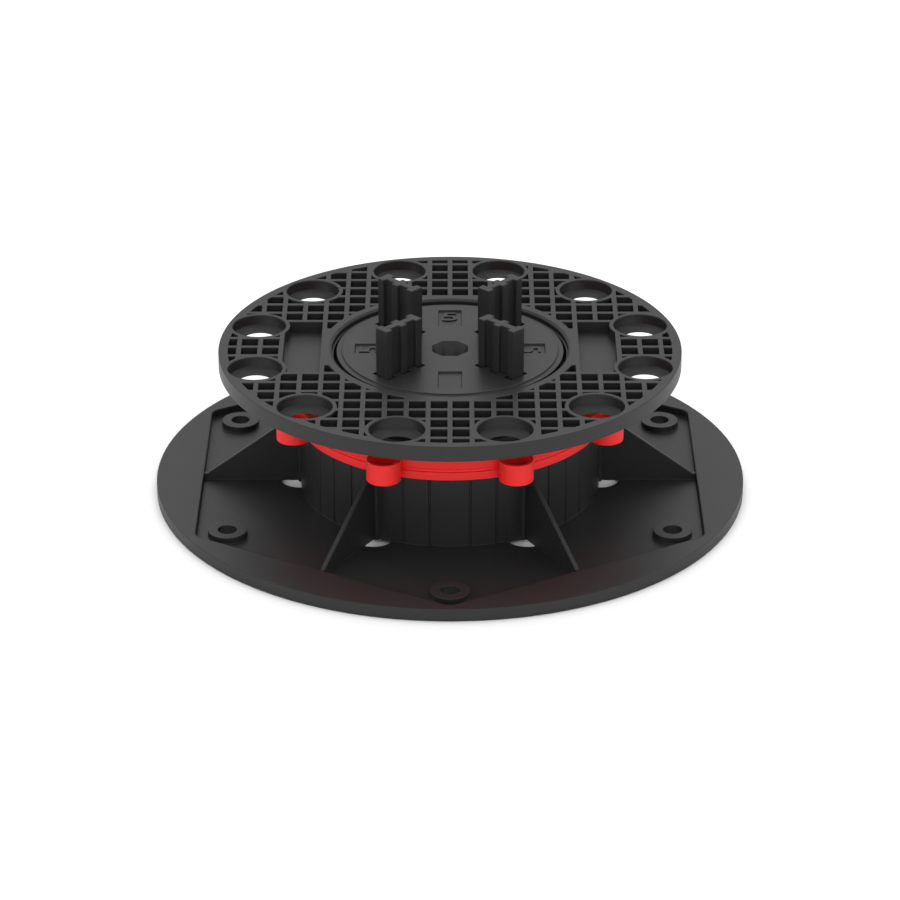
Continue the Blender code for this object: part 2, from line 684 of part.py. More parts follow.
def make_disc(parts, cutters):
    """Disc that turns in the head and holds the tabs."""
    disc = turned("spacer_disc", disc_profile(), parts, ROUND_STEPS)
    slot_section = tab_section(RUNNING_GAP, SLOT_END_GAP)
    inner = slot_section[0][0] - SLEEVE_WALL
    outer = TAB_BAR_RADII[-1] + TAB_BAR_THICKNESS / 2 + RUNNING_GAP + SLEEVE_WALL
    half = TAB_BAR_LENGTH / 2 + SLOT_END_GAP + SLEEVE_WALL
    sleeve_section = [(inner, half), (outer, half), (outer, -half), (inner, -half)]
    slot_low = TAB_FOOT - OVERLAP
    slot_high = DISC_TOP + OVERLAP
    for quarter, (side_x, side_y) in QUARTERS.items():
        outline = on_diagonal(sleeve_section, side_x, side_y)
        sleeve = prism("sleeve_" + quarter, [outline], TAB_FOOT, DISC_BOTTOM + OVERLAP, cutters)
        combine(disc, sleeve, "UNION")
        outline = on_diagonal(slot_section, side_x, side_y)
        slot = prism("slot_" + quarter, [outline], slot_low, slot_high, cutters)
        combine(disc, slot, "DIFFERENCE")
    combine(disc, make_socket_cutter(cutters), "DIFFERENCE")

    frame_low = (FRAME_INNER_RADIUS, -FRAME_WIDTH / 2, DISC_TOP - FRAME_DEPTH)
    frame_high = (FRAME_OUTER_RADIUS, FRAME_WIDTH / 2, DISC_TOP + OVERLAP)
    frame = box("numeral_frames", frame_low, frame_high, cutters)
    combine(disc, spin_copies(frame, FRAME_ANGLES), "DIFFERENCE")

    barb_reach = HUB_RADIUS + HUB_BARB + OVERLAP
    slit_bottom = WEB_BOTTOM - HUB_BARB_HEIGHT - OVERLAP
    slit_low = (HUB_BORE - OVERLAP, -HUB_SLIT / 2, slit_bottom)
    slit_high = (barb_reach, HUB_SLIT / 2, WEB_BOTTOM - RUNNING_GAP / 2)
    slit = box("hub_slits", slit_low, slit_high, cutters)
    combine(disc, spin_copies(slit, SLIT_ANGLES), "DIFFERENCE")
    finish(disc, "spacer_disc", 0.55)
    return disc


def make_tabs(parts):
    """Four upright tabs of ribbed section, with softened top edges."""
    tabs = []
    for quarter, (side_x, side_y) in QUARTERS.items():
        outline = on_diagonal(tab_section(0.0, 0.0), side_x, side_y)
        tab = prism("spacer_tab_" + quarter, [outline], TAB_FOOT, TAB_TOP, parts)
        shape = bmesh.new()
        shape.from_mesh(tab.data)
        rim = []
        for edge in shape.edges:
            high = all(vert.co.z > TAB_TOP - RUNNING_GAP for vert in edge.verts)
            if high and edge.calc_face_angle() > math.radians(60):
                rim.append(edge)
        flat = math.radians(FLAT_DEGREES)
        bmesh.ops.dissolve_limit(shape, angle_limit=flat, verts=shape.verts, edges=shape.edges)
        rim = [edge for edge in rim if edge.is_valid]
        bmesh.ops.bevel(
            shape, geom=rim, offset=TAB_EDGE, segments=1, affect="EDGES"
        )
        shape.to_mesh(tab.data)
        shape.free()
        finish(tab, "spacer_tab", 0.5)
        tabs.append(tab)
    return tabs


def joint_point(name, height, collection):
    """Empty on the vertical axis at a joint."""
    empty = bpy.data.objects.new(name, None)
    empty.location = (0.0, 0.0, height)
    collection.objects.link(empty)
    return empty


def hang(item, parent):
    """Parent a piece without moving it."""
    bpy.context.view_layer.update()
    item.parent = parent
    item.matrix_parent_inverse = parent.matrix_world.inverted()


def main():
    """Build the pedestal."""
    for item in list(bpy.data.objects):
        bpy.data.objects.remove(item)
    parts = bpy.data.collections.new("decking_pedestal")
    cutters = bpy.data.collections.new("cutters")
    bpy.context.scene.collection.children.link(parts)
    bpy.context.scene.collection.children.link(cutters)

    base = make_base(parts, cutters)
    collar = make_collar(parts, cutters)
    head = make_head(parts, cutters)
    disc = make_disc(parts, cutters)
    tabs = make_tabs(parts)

    collar_axis = joint_point("collar_axis", COLLAR_BOTTOM, parts)
    lift_axis = joint_point("lift_axis", HEAD_BOTTOM, parts)
    disc_axis = joint_point("disc_axis", WEB_TOP, parts)
    hang(collar_axis, base)
    hang(lift_axis, base)
    hang(disc_axis, lift_axis)
    hang(collar, collar_axis)
    hang(head, lift_axis)
    hang(disc, disc_axis)
    for tab in tabs:
        hang(tab, disc_axis)


main()
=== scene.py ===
"""Dressed model of an adjustable decking pedestal.

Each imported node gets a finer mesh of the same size, with moulded edges, a
thread on the stem and numerals on the disc. Metres, in the frame's own axes.
"""
import math

import bmesh
import bpy
from mathutils import Matrix, Vector


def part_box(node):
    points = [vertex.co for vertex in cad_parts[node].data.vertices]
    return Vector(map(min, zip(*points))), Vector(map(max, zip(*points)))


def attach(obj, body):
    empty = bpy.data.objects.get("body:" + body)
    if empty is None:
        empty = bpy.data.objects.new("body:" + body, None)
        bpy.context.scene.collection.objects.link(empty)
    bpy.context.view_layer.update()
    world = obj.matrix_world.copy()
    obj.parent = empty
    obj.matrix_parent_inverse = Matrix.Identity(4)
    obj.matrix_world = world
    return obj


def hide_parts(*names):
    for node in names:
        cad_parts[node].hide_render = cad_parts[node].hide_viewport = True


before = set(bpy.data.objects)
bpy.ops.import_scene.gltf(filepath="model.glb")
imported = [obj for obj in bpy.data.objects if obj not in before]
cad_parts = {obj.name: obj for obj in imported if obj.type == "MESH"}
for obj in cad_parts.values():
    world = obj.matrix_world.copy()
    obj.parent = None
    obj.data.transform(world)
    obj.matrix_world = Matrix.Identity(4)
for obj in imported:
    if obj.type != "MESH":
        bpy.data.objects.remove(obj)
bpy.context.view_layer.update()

MM = 0.001
MM_PER_METRE = 1000.0

# Places taken from the frame
BASE_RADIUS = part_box("base")[1].x
SPIGOT_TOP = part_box("base")[1].z
COLLAR_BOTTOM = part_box("adjusting_collar")[0].z
LOBE_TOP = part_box("adjusting_collar")[1].z
HEAD_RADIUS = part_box("head")[1].x
HEAD_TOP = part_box("head")[1].z
STEM_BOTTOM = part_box("head")[0].z
DISC_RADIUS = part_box("spacer_disc")[1].x
DISC_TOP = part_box("spacer_disc")[1].z
HUB_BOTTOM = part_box("spacer_disc")[0].z
TAB_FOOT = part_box("spacer_tab_back_right")[0].z
TAB_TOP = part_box("spacer_tab_back_right")[1].z

# Base
BASE_THICKNESS = 4.2 * MM
PANEL_APOTHEM = 82.8 * MM
PANEL_FLOOR = 1.5 * MM
PANEL_CORNER_RADIUS = 4.0 * MM
PANEL_EDGE = 0.45 * MM
SIDES = 6
BOSS_CENTRE_RADIUS = 84.0 * MM
BOSS_RADIUS = 6.4 * MM
BOSS_HOLE_RADIUS = 3.1 * MM
BOSS_TOP = 3.55 * MM
DRAIN_RADIUS = 6.8 * MM
ROOT_DEPTH = 0.4 * MM
GUSSET_THICKNESS = 1.5 * MM
GUSSET_TOP = 25.3 * MM
GUSSET_SHELF_RADIUS = 52.1 * MM
GUSSET_FOOT_HEIGHT = 3.7 * MM
GUSSET_FOOT_LENGTH = 1.1 * MM
ROOT_RIB_RADIUS = 0.9 * MM
ROOT_RIB_OFFSET = 1.2 * MM
BARREL_RADIUS = 50.2 * MM
BARREL_BORE = 47.0 * MM
BARREL_SHOULDER = 25.8 * MM
SPIGOT_RADIUS = 48.9 * MM
BEAD_HEIGHT = 0.5 * MM
BEAD_WIDTH = 1.0 * MM
BEAD_DROP = 1.0 * MM
FLUTE_WIDTH = 0.7 * MM
FLUTE_DEPTH = 0.4 * MM
FLUTE_ANGLES = (7.6, 17.7, 39.7, 49.1, 58.4, 67.5)
KEY_COUNT = 4
KEY_RADIUS = 43.5 * MM
KEY_WIDTH = 4.0 * MM
KEY_BOTTOM = 6.0 * MM
KEY_TOP = 30.2 * MM

# Adjusting collar
COLLAR_RADIUS = 51.8 * MM
COLLAR_CROWN_RADIUS = 51.5 * MM
COLLAR_HEIGHT = 7.5 * MM
COLLAR_BORE = 49.2 * MM
NUT_BORE = 45.3 * MM
NUT_HEIGHT = 2.4 * MM
GROOVE_BOTTOM = 2.8 * MM
GROOVE_WIDTH = 0.9 * MM
GROOVE_DEPTH = 0.7 * MM
LOBE_COUNT = 8
LOBE_CENTRE_RADIUS = 55.7 * MM
LOBE_RADIUS = 5.65 * MM
LOBE_WALL = 1.2 * MM
LOBE_FLOOR = 1.5 * MM
LOBE_RISE = 0.5 * MM
LOBE_DROP = 0.3 * MM

# Head and stem
HEAD_THICKNESS = 5.3 * MM
HEAD_EDGE = 0.25 * MM
RIM_WIDTH = 3.2 * MM
CELL_DEPTH = 3.8 * MM
GRID_PITCH = 7.0 * MM
BAR_WIDTH = 1.7 * MM
SMALLEST_CELL = 1.0 * MM ** 2
CELL_WELD = 0.35 * MM
CELL_EDGE = 0.25 * MM
HOLE_COUNT = 12
HOLE_CENTRE_RADIUS = 66.2 * MM
HOLE_TURN = 0.3
HOLE_RADIUS = 8.9 * MM
HOLE_NECK_RADIUS = 5.8 * MM
HOLE_STRAIGHT_DEPTH = 3.5 * MM
HOLE_WALL = 1.5 * MM
POCKET_FIRST_BAR = 6
POCKET_LAST_BAR = 8
POCKET_SIDE_BAR = 3
PAD_HALF_LENGTH = 15.0 * MM
SEAT_RADIUS = 39.2 * MM
SEAT_RING_RADIUS = 42.6 * MM
SEAT_CHAMFER_WIDTH = 0.9 * MM
SEAT_CHAMFER_DEPTH = 0.7 * MM
SEAT_LIP_WIDTH = 0.6 * MM
SEAT_LIP_DEPTH = 2.2 * MM
STEM_RADIUS = 45.0 * MM
STEM_CORE_RADIUS = 43.9 * MM
STEM_BORE = 41.0 * MM
KEYWAY_RADIUS = 43.2 * MM
KEYWAY_WIDTH = 4.6 * MM
WEB_TOP = 42.0 * MM
WEB_THICKNESS = 2.0 * MM
WEB_BORE = 9.0 * MM
THREAD_PITCH = 6.0 * MM
THREAD_CREST = 1.4 * MM
THREAD_ROOT = 3.0 * MM

# Spacer disc
DISC_THICKNESS = 2.4 * MM
DISC_STEP_WIDTH = 1.8 * MM
DISC_STEP_HEIGHT = 0.55 * MM
HUB_RADIUS = 8.7 * MM
HUB_BORE = 5.5 * MM
HUB_BARB = 0.9 * MM
HUB_BARB_HEIGHT = 2.0 * MM
HUB_SLIT = 1.5 * MM
SOCKET_APOTHEM = 6.0 * MM
SOCKET_DEPTH = 6.0 * MM
SOCKET_TAPER = 3.4 * MM
SOCKET_SIDES = 8
FRAME_WIDTH = 7.7 * MM
FRAME_INNER_RADIUS = 18.3 * MM
FRAME_OUTER_RADIUS = 31.5 * MM
FRAME_DEPTH = 0.7 * MM
NUMERAL = "5"
NUMERAL_SIZE = 9.5 * MM
NUMERAL_STRETCH = 1.4
NUMERAL_HEIGHT = 0.4 * MM
NUMERAL_RADIUS = 26.5 * MM

# Spacer tabs
TAB_BAR_RADII = (16.9 * MM, 23.6 * MM, 30.3 * MM)
TAB_BAR_LENGTH = 5.2 * MM
TAB_BAR_THICKNESS = 2.8 * MM
TAB_WEB_THICKNESS = 2.4 * MM
TAB_EDGE = 0.4 * MM
SLOT_END_GAP = 1.2 * MM
SLEEVE_WALL = 1.6 * MM

# Fits and finish
RUNNING_GAP = 0.3 * MM
OVERLAP = 1.0 * MM
WELD = 0.002 * MM
FLAT_DEGREES = 0.1
MOULD_EDGE = 0.22 * MM
EDGE_SEGMENTS = 2
SHARP_DEGREES = 28
CREASE_DEGREES = 50
EASE_STEPS = 3
EASE_LIMIT = 0.4
STEEPEST_MITRE = 0.5
ROUND_STEPS = 144
HOLE_STEPS = 48
SMALL_STEPS = 32
THREAD_STEPS = 72
THREAD_RUN_IN = THREAD_STEPS / 8
CORNER_STEPS = 8
RIB_STEPS = 16
NUMERAL_STEPS = 6
TAB_EDGE_SEGMENTS = 3
UPWARD = 0.9

# Plastics: colours, grain and rubbed edges
GREY = (0.016, 0.016, 0.0162)
WORN_GREY = (0.028, 0.028, 0.028)
RED = (0.90, 0.014, 0.013)
WORN_RED = (0.88, 0.09, 0.08)
ROUGHNESS_SWING = 0.06
BUMP_STRENGTH = 0.4
GRAIN_DETAIL = 3.0
GRAIN_ROUGHNESS = 0.6
FLOW_DETAIL = 4.0
FLOW_DISTORTION = 0.6
RUB_START = 0.52
RUB_FULL = 0.62

# Studio: angles in degrees, lens and sensor in millimetres, and each lamp's
# name, place, size and power in watts
CAMERA_ELEVATION = 25.792
CAMERA_DISTANCE = 1.2523
CAMERA_AIM_HEIGHT = 12.1 * MM
SENSOR_WIDTH = 36.0
LENS = 149.0
NEAR_CLIP = 0.01
FAR_CLIP = 20.0
FLOOR_RADIUS = 6.0
FLOOR_DROP = 0.2 * MM
FLOOR_WHITE = 0.72
FLOOR_BOUNCE = 0.5
SKY_DIFFUSE = 1.6
SKY_GLOSSY = 0.58
LAMPS = (
    ("top_softbox", (0.0, 0.9, 1.5), 1.2, 6.0),
)

# Places and angles that follow from the measures
HEAD_BOTTOM = HEAD_TOP - HEAD_THICKNESS
ROOT_BOTTOM = PANEL_FLOOR - ROOT_DEPTH
COLLAR_TOP = COLLAR_BOTTOM + COLLAR_HEIGHT
WEB_BOTTOM = WEB_TOP - WEB_THICKNESS
DISC_BOTTOM = DISC_TOP - DISC_THICKNESS
GUSSET_ANGLES = [360 / SIDES * k for k in range(SIDES)]
BOSS_ANGLES = [360 / SIDES * (k + 0.5) for k in range(SIDES)]
LOBE_ANGLES = [360 / LOBE_COUNT * (k + 0.5) for k in range(LOBE_COUNT)]
HOLE_ANGLES = [360 / HOLE_COUNT * (k + 0.5) + HOLE_TURN for k in range(HOLE_COUNT)]
KEY_ANGLES = [360 / KEY_COUNT * k for k in range(KEY_COUNT)]
SLIT_ANGLES = [45, 135, 225, 315]
NUMERAL_ANGLES = {"right": 0, "back": 90, "left": 180}
QUARTERS = {
    "back_right": (1, 1),
    "back_left": (-1, 1),
    "front_left": (-1, -1),
    "front_right": (1, -1),
}


def polar(radius, degrees):
    """Point at a radius and an angle from +X."""
    angle = math.radians(degrees)
    return (radius * math.cos(angle), radius * math.sin(angle))


def circle(radius, steps, centre=(0.0, 0.0)):
    """Corners of a round outline."""
    points = []
    for k in range(steps):
        x, y = polar(radius, 360 * k / steps)
        points.append((centre[0] + x, centre[1] + y))
    return points


def polygon(apothem, sides, corner_radius, corner_steps):
    """Regular polygon, flat side towards +X, with rounded corners."""
    half = 180 / sides
    inset = (apothem - corner_radius) / math.cos(math.radians(half))
    points = []
    for k in range(sides):
        corner = 2 * half * k + half
        centre = polar(inset, corner)
        for step in range(corner_steps + 1):
            x, y = polar(corner_radius, corner - half + 2 * half * step / corner_steps)
            points.append((centre[0] + x, centre[1] + y))
    return points


def on_diagonal(points, side_x, side_y):
    """Points given along and across the diagonal of a quarter, placed in the plane."""
    diagonal = math.sqrt(0.5)
    placed_points = []
    for along, across in points:
        x = side_x * (along + across) * diagonal
        y = side_y * (along - across) * diagonal
        placed_points.append((x, y))
    return placed_points


def tab_section(side_gap, end_gap):
    """Section of a tab along its diagonal: bars across a web, larger by two gaps."""
    half_web = TAB_WEB_THICKNESS / 2 + side_gap
    half_bar = TAB_BAR_THICKNESS / 2 + side_gap
    half_length = TAB_BAR_LENGTH / 2 + end_gap
    side = []
    for radius in TAB_BAR_RADII:
        side += [
            (radius - half_bar, half_web),
            (radius - half_bar, half_length),
            (radius + half_bar, half_length),
            (radius + half_bar, half_web),
        ]
    side = side[1:-1]
    return side + [(along, -across) for along, across in reversed(side)]


def solid(name, shape):
    """Object of a bmesh, with its faces pointing out."""
    bmesh.ops.recalc_face_normals(shape, faces=shape.faces)
    mesh = bpy.data.meshes.new(name)
    shape.to_mesh(mesh)
    shape.free()
    item = bpy.data.objects.new(name, mesh)
    bpy.context.scene.collection.objects.link(item)
    return item


def turned(name, profile, steps):
    """Body turned about Z from a profile of radius and height.

    A profile that starts on the axis ends there too.
    """
    shape = bmesh.new()
    rings = []
    for k in range(steps):
        ring = []
        for radius, height in profile:
            x, y = polar(radius, 360 * k / steps)
            ring.append(shape.verts.new((x, y, height)))
        rings.append(ring)
    count = len(profile)
    sections = count - 1 if profile[0][0] == 0.0 else count
    for k in range(steps):
        here = rings[k]
        there = rings[(k + 1) % steps]
        for j in range(sections):
            nearby = (j + 1) % count
            shape.faces.new((here[j], here[nearby], there[nearby], there[j]))
    bmesh.ops.remove_doubles(shape, verts=shape.verts, dist=WELD)
    return solid(name, shape)


def eased(profile, width, closed=True):
    """Profile with each corner rounded by an arc of about a width."""
    count = len(profile)
    points = []
    for k, corner in enumerate(profile):
        if not closed and k in (0, count - 1):
            points.append(corner)
            continue
        here = Vector(corner)
        before = Vector(profile[k - 1]) - here
        after = Vector(profile[(k + 1) % count]) - here
        reach = min(width, EASE_LIMIT * before.length, EASE_LIMIT * after.length)
        start = here + before.normalized() * reach
        end = here + after.normalized() * reach
        for step in range(EASE_STEPS + 1):
            t = step / EASE_STEPS
            point = start * (1 - t) ** 2 + here * 2 * t * (1 - t) + end * t ** 2
            points.append((point.x, point.y))
    return points


def grown(outline, distance):
    """Closed outline, anticlockwise, moved outwards by a distance."""
    points = []
    for k, corner in enumerate(outline):
        here = Vector(corner)
        before = (here - Vector(outline[k - 1])).normalized()
        after = (Vector(outline[(k + 1) % len(outline)]) - here).normalized()
        normal = Vector((before.y, -before.x))
        mitre = normal + Vector((after.y, -after.x))
        mitre.normalize()
        reach = distance / max(mitre.dot(normal), STEEPEST_MITRE)
        points.append((here.x + mitre.x * reach, here.y + mitre.y * reach))
    return points


def prism(name, outline, bottom, top):
    """Upright body of an outline."""
    shape = bmesh.new()
    low = [shape.verts.new((x, y, bottom)) for x, y in outline]
    high = [shape.verts.new((x, y, top)) for x, y in outline]
    shape.faces.new(low)
    shape.faces.new(high)
    for k in range(len(outline)):
        nearby = (k + 1) % len(outline)
        shape.faces.new((low[k], low[nearby], high[nearby], high[k]))
    return solid(name, shape)


def box(name, low, high):
    """Box between two corners."""
    outline = [(low[0], low[1]), (high[0], low[1]), (high[0], high[1]), (low[0], high[1])]
    return prism(name, outline, low[2], high[2])


def moved(item, matrix):
    """Shift or turn an object's mesh."""
    item.data.transform(matrix)
    return item


def spun(item, angles):
    """Repeat a body about Z at each angle, within one mesh."""
    shape = bmesh.new()
    for degrees in angles:
        copy = item.data.copy()
        copy.transform(Matrix.Rotation(math.radians(degrees), 4, "Z"))
        shape.from_mesh(copy)
        bpy.data.meshes.remove(copy)
    shape.to_mesh(item.data)
    shape.free()
    return item


def evaluated(item):
    """Replace an object's mesh by what its modifiers make of it."""
    bpy.context.view_layer.update()
    graph = bpy.context.evaluated_depsgraph_get()
    mesh = bpy.data.meshes.new_from_object(item.evaluated_get(graph))
    item.modifiers.clear()
    old = item.data
    item.data = mesh
    bpy.data.meshes.remove(old)
    return item


def clean(item, weld=WELD):
    """Join flat faces and weld loose corners."""
    shape = bmesh.new()
    shape.from_mesh(item.data)
    flat = math.radians(FLAT_DEGREES)
    bmesh.ops.dissolve_limit(shape, angle_limit=flat, verts=shape.verts, edges=shape.edges)
    bmesh.ops.remove_doubles(shape, verts=shape.verts, dist=weld)
    bmesh.ops.dissolve_degenerate(shape, edges=shape.edges, dist=weld)
    shape.to_mesh(item.data)
    shape.free()
    return item


def combine(item, operation, *others):
    """Boolean of a body with others, which are used up."""
    for other in others:
        modifier = item.modifiers.new(other.name, "BOOLEAN")
        modifier.operation = operation
        modifier.solver = "EXACT"
        modifier.object = other
        clean(evaluated(item))
        bpy.data.objects.remove(other)
    return item


def cut(item, *others):
    """Take bodies out of a body."""
    return combine(item, "DIFFERENCE", *others)


def join(item, *others):
    """Fuse bodies to a body."""
    return combine(item, "UNION", *others)


def moulded(item, width=MOULD_EDGE, segments=EDGE_SEGMENTS):
    """Round every edge as a mould leaves it and shade the piece smoothly."""
    bevel = item.modifiers.new("mould_edge", "BEVEL")
    bevel.width = width
    bevel.segments = segments
    bevel.limit_method = "ANGLE"
    bevel.angle_limit = math.radians(SHARP_DEGREES)
    bevel.use_clamp_overlap = False
    bevel.miter_outer = "MITER_SHARP"
    return shaded(evaluated(item))


def shaded(item):
    """Smooth shading over the rounded edges, flat over the flat faces."""
    item.data.shade_smooth()
    item.data.set_sharp_from_angle(angle=math.radians(CREASE_DEGREES))
    normals = item.modifiers.new("flat_faces_first", "WEIGHTED_NORMAL")
    normals.keep_sharp = True
    normals.mode = "FACE_AREA"
    return item


def placed(item, body, slot, material, *nodes):
    """Give a piece its material and body, and let it stand for its nodes."""
    item.data.materials.clear()
    item.data.materials.append(material)
    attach(item, body)
    if nodes:
        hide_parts(*nodes)
    return item


def base_body():
    """Plate, barrel, gussets, bosses and drains in one moulding."""
    base = prism("base_body", circle(BASE_RADIUS, ROUND_STEPS), 0.0, BASE_THICKNESS)
    hexagon = polygon(PANEL_APOTHEM, SIDES, PANEL_CORNER_RADIUS, CORNER_STEPS)
    shape = bmesh.new()
    flare(shape, hexagon, PANEL_FLOOR, BASE_THICKNESS, PANEL_EDGE)
    cut(base, solid("panel", shape))
    drain_outline = circle(DRAIN_RADIUS, HOLE_STEPS, (BARREL_RADIUS, 0.0))
    drain = prism("drains", drain_outline, -OVERLAP, BASE_THICKNESS)
    cut(base, spun(drain, GUSSET_ANGLES))

    bead_top = SPIGOT_TOP - BEAD_DROP
    barrel_profile = [
        (0.0, SPIGOT_TOP),
        (SPIGOT_RADIUS, SPIGOT_TOP),
        (SPIGOT_RADIUS, bead_top),
        (SPIGOT_RADIUS + BEAD_HEIGHT, bead_top - BEAD_WIDTH / 2),
        (SPIGOT_RADIUS, bead_top - BEAD_WIDTH),
        (SPIGOT_RADIUS, BARREL_SHOULDER),
        (BARREL_RADIUS, BARREL_SHOULDER),
        (BARREL_RADIUS, ROOT_BOTTOM),
        (0.0, ROOT_BOTTOM),
    ]
    join(base, turned("barrel", barrel_profile, ROUND_STEPS))

    root = (BARREL_RADIUS + BARREL_BORE) / 2
    gusset_outline = [
        (root, ROOT_BOTTOM),
        (PANEL_APOTHEM + OVERLAP, ROOT_BOTTOM),
        (PANEL_APOTHEM + OVERLAP, GUSSET_FOOT_HEIGHT),
        (PANEL_APOTHEM - GUSSET_FOOT_LENGTH, GUSSET_FOOT_HEIGHT),
        (GUSSET_SHELF_RADIUS, GUSSET_TOP),
        (root, GUSSET_TOP),
    ]
    half = GUSSET_THICKNESS / 2
    gusset = prism("gussets", gusset_outline, -half, half)
    moved(gusset, Matrix.Rotation(math.radians(90), 4, "X"))
    join(base, spun(gusset, GUSSET_ANGLES))
    for side in (-1, 1):
        centre = (BARREL_RADIUS, side * ROOT_RIB_OFFSET)
        outline = circle(ROOT_RIB_RADIUS, RIB_STEPS, centre)
        rib = prism("root_ribs", outline, ROOT_BOTTOM, GUSSET_TOP)
        join(base, spun(rib, GUSSET_ANGLES))

    boss_centre = (BOSS_CENTRE_RADIUS, 0.0)
    boss = prism("bosses", circle(BOSS_RADIUS, HOLE_STEPS, boss_centre), ROOT_BOTTOM, BOSS_TOP)
    join(base, spun(boss, BOSS_ANGLES))
    hole_outline = circle(BOSS_HOLE_RADIUS, SMALL_STEPS, boss_centre)
    hole = prism("boss_holes", hole_outline, -OVERLAP, BOSS_TOP + OVERLAP)
    cut(base, spun(hole, BOSS_ANGLES))
    bore_outline = circle(BARREL_BORE, ROUND_STEPS)
    cut(base, prism("barrel_bore", bore_outline, -OVERLAP, SPIGOT_TOP + OVERLAP))

    key_low = (KEY_RADIUS, -KEY_WIDTH / 2, KEY_BOTTOM)
    key_high = ((BARREL_BORE + SPIGOT_RADIUS) / 2, KEY_WIDTH / 2, KEY_TOP)
    join(base, spun(box("keys", key_low, key_high), KEY_ANGLES))
    flute_low = (BARREL_RADIUS - FLUTE_DEPTH, -FLUTE_WIDTH / 2, PANEL_FLOOR)
    flute_high = (BARREL_RADIUS + OVERLAP, FLUTE_WIDTH / 2, BARREL_SHOULDER + OVERLAP)
    flute_angles = []
    for angle in FLUTE_ANGLES:
        flute_angles += [90 - angle, 90 + angle, 270 - angle, 270 + angle]
    cut(base, spun(box("flutes", flute_low, flute_high), flute_angles))
    return moulded(base)


def collar_body():
    """Ring with eight hollow finger lobes, its nut step inside and groove outside."""
    bead_middle = SPIGOT_TOP - BEAD_DROP - BEAD_WIDTH / 2
    relief = BEAD_WIDTH / 2 + RUNNING_GAP
    groove_low = COLLAR_BOTTOM + GROOVE_BOTTOM
    groove_high = groove_low + GROOVE_WIDTH
    profile = [
        (NUT_BORE, COLLAR_TOP),
        (COLLAR_CROWN_RADIUS, COLLAR_TOP),
        (COLLAR_CROWN_RADIUS, groove_high),
        (COLLAR_RADIUS - GROOVE_DEPTH, groove_high),
        (COLLAR_RADIUS - GROOVE_DEPTH, groove_low),
        (COLLAR_RADIUS, groove_low),
        (COLLAR_RADIUS, COLLAR_BOTTOM),
        (COLLAR_BORE, COLLAR_BOTTOM),
        (COLLAR_BORE, bead_middle - relief),
        (COLLAR_BORE + BEAD_HEIGHT, bead_middle),
        (COLLAR_BORE, bead_middle + relief),
        (COLLAR_BORE, COLLAR_TOP - NUT_HEIGHT),
        (NUT_BORE, COLLAR_TOP - NUT_HEIGHT),
    ]
    collar = turned("collar_ring", profile, ROUND_STEPS)
    outline = circle(LOBE_RADIUS, HOLE_STEPS, (LOBE_CENTRE_RADIUS, 0.0))
    lobe = prism("lobes", outline, COLLAR_BOTTOM + LOBE_RISE, LOBE_TOP - LOBE_DROP)
    join(collar, spun(lobe, LOBE_ANGLES))
    cup_outline = circle(LOBE_RADIUS - LOBE_WALL, HOLE_STEPS, (LOBE_CENTRE_RADIUS, 0.0))
    cup = prism("cups", cup_outline, COLLAR_BOTTOM + LOBE_FLOOR, LOBE_TOP + OVERLAP)
    cut(collar, spun(cup, LOBE_ANGLES))
    return moulded(collar)


def outline_area(outline):
    """Area inside a closed outline, positive when it runs anticlockwise."""
    area = 0.0
    for (x0, y0), (x1, y1) in zip(outline, outline[1:] + outline[:1]):
        area += (x0 * y1 - x1 * y0) / 2
    return area


def cell_cutters():
    """Square cells between the bars, clipped by the rim, the seat and the hole walls."""
    low = HEAD_TOP - CELL_DEPTH
    high = HEAD_TOP + OVERLAP
    outer_edge = HEAD_RADIUS - RIM_WIDTH
    half_cell = (GRID_PITCH - BAR_WIDTH) / 2
    reach = math.ceil(HEAD_RADIUS / GRID_PITCH)
    pocket_near = POCKET_FIRST_BAR * GRID_PITCH
    pocket_far = POCKET_LAST_BAR * GRID_PITCH
    pocket_side = POCKET_SIDE_BAR * GRID_PITCH
    shape = bmesh.new()
    for column in range(-reach, reach):
        for row in range(-reach, reach):
            x = (column + 0.5) * GRID_PITCH
            y = (row + 0.5) * GRID_PITCH
            near = math.hypot(abs(x) + half_cell, abs(y) + half_cell)
            far = math.hypot(abs(x) - half_cell, abs(y) - half_cell)
            in_pad = abs(x) < pocket_near and abs(y) < PAD_HALF_LENGTH
            in_pocket = pocket_near < abs(x) < pocket_far and abs(y) < pocket_side
            if near < SEAT_RING_RADIUS or far > outer_edge or in_pad or in_pocket:
                continue
            cell = bmesh.ops.create_cube(shape, size=1.0)["verts"]
            bmesh.ops.scale(shape, vec=(2 * half_cell, 2 * half_cell, high - low), verts=cell)
            bmesh.ops.translate(shape, vec=(x, y, (low + high) / 2), verts=cell)
    for side in (-1, 1):
        pocket = bmesh.ops.create_cube(shape, size=1.0)["verts"]
        length = pocket_far - pocket_near - BAR_WIDTH
        width = 2 * pocket_side - BAR_WIDTH
        bmesh.ops.scale(shape, vec=(length, width, high - low), verts=pocket)
        middle = side * (pocket_near + pocket_far) / 2
        bmesh.ops.translate(shape, vec=(middle, 0.0, (low + high) / 2), verts=pocket)
    cells = solid("cells", shape)
    field_profile = [
        (SEAT_RING_RADIUS, high + OVERLAP),
        (outer_edge, high + OVERLAP),
        (outer_edge, low - OVERLAP),
        (SEAT_RING_RADIUS, low - OVERLAP),
    ]
    combine(cells, "INTERSECT", turned("cell_field", field_profile, ROUND_STEPS))
    wall_outline = circle(HOLE_RADIUS + HOLE_WALL, HOLE_STEPS, (HOLE_CENTRE_RADIUS, 0.0))
    cut(cells, spun(prism("hole_walls", wall_outline, low - OVERLAP, high + OVERLAP), HOLE_ANGLES))
    return flared(clean(cells, CELL_WELD), low)


